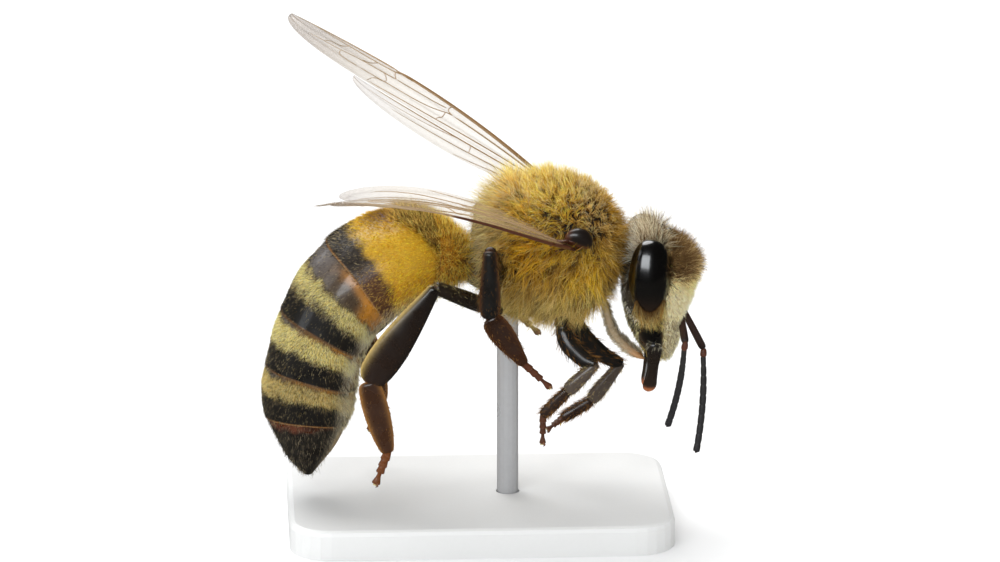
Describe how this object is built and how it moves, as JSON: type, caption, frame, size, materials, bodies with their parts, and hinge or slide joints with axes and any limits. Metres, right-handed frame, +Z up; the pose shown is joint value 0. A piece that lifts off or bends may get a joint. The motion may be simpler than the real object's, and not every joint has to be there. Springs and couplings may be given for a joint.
{
  "type": "honey_bee_model",
  "caption": "Life-size worker honey bee in a hanging flight pose, wings spread, held by one rod on a small flat display base.",
  "frame": {"origin": "middle of the underside of the display base", "axes": "X towards the bee's head, Y towards its left side, Z up"},
  "size_m": [0.0123, 0.012, 0.0135],
  "materials": {
    "body_fur": "straw yellow body hair, about 0.4 to 0.6 mm long",
    "face_fur": "short pale hair on the face and crown",
    "eye": "glossy black faceted eye",
    "feeler": "slate grey ringed feeler, red-brown at its root",
    "tongue": "pale amber folded tongue",
    "dark_shell": "dark brown to black shell with hair bands",
    "amber_shell": "golden orange shell with a dark hind band",
    "membrane": "thin clear wing membrane with brown veins",
    "leg_shell": "red-brown to black leg shell with fine hair",
    "stand_board": "satin grey plate",
    "stand_steel": "drawn steel rod"
  },
  "bodies": {
    "root": {"head": "face_fur", "eye_left": "eye", "eye_right": "eye", "mandible_left": "leg_shell", "mandible_right": "leg_shell", "proboscis": "tongue", "antenna_left_scape": "feeler", "antenna_left_flagellum": "feeler", "antenna_right_scape": "feeler", "antenna_right_flagellum": "feeler", "thorax": "body_fur", "tegula_left": "dark_shell", "tegula_right": "dark_shell", "abdomen_1": "dark_shell", "abdomen_2": "amber_shell", "abdomen_3": "dark_shell", "abdomen_4": "dark_shell", "abdomen_5": "dark_shell", "abdomen_6": "dark_shell", "forewing_left": "membrane", "forewing_right": "membrane", "hindwing_left": "membrane", "hindwing_right": "membrane", "leg_fore_left_femur": "leg_shell", "leg_fore_left_tibia": "leg_shell", "leg_fore_left_basitarsus": "leg_shell", "leg_fore_left_tarsus": "leg_shell", "leg_fore_right_femur": "leg_shell", "leg_fore_right_tibia": "leg_shell", "leg_fore_right_basitarsus": "leg_shell", "leg_fore_right_tarsus": "leg_shell", "leg_mid_left_femur": "leg_shell", "leg_mid_left_tibia": "leg_shell", "leg_mid_left_basitarsus": "leg_shell", "leg_mid_left_tarsus": "leg_shell", "leg_mid_right_femur": "leg_shell", "leg_mid_right_tibia": "leg_shell", "leg_mid_right_basitarsus": "leg_shell", "leg_mid_right_tarsus": "leg_shell", "leg_hind_left_femur": "leg_shell", "leg_hind_left_tibia": "leg_shell", "leg_hind_left_basitarsus": "leg_shell", "leg_hind_left_tarsus": "leg_shell", "leg_hind_right_femur": "leg_shell", "leg_hind_right_tibia": "leg_shell", "leg_hind_right_basitarsus": "leg_shell", "leg_hind_right_tarsus": "leg_shell", "stand_base": "stand_board", "stand_rod": "stand_steel"}
  },
  "joints": []
}
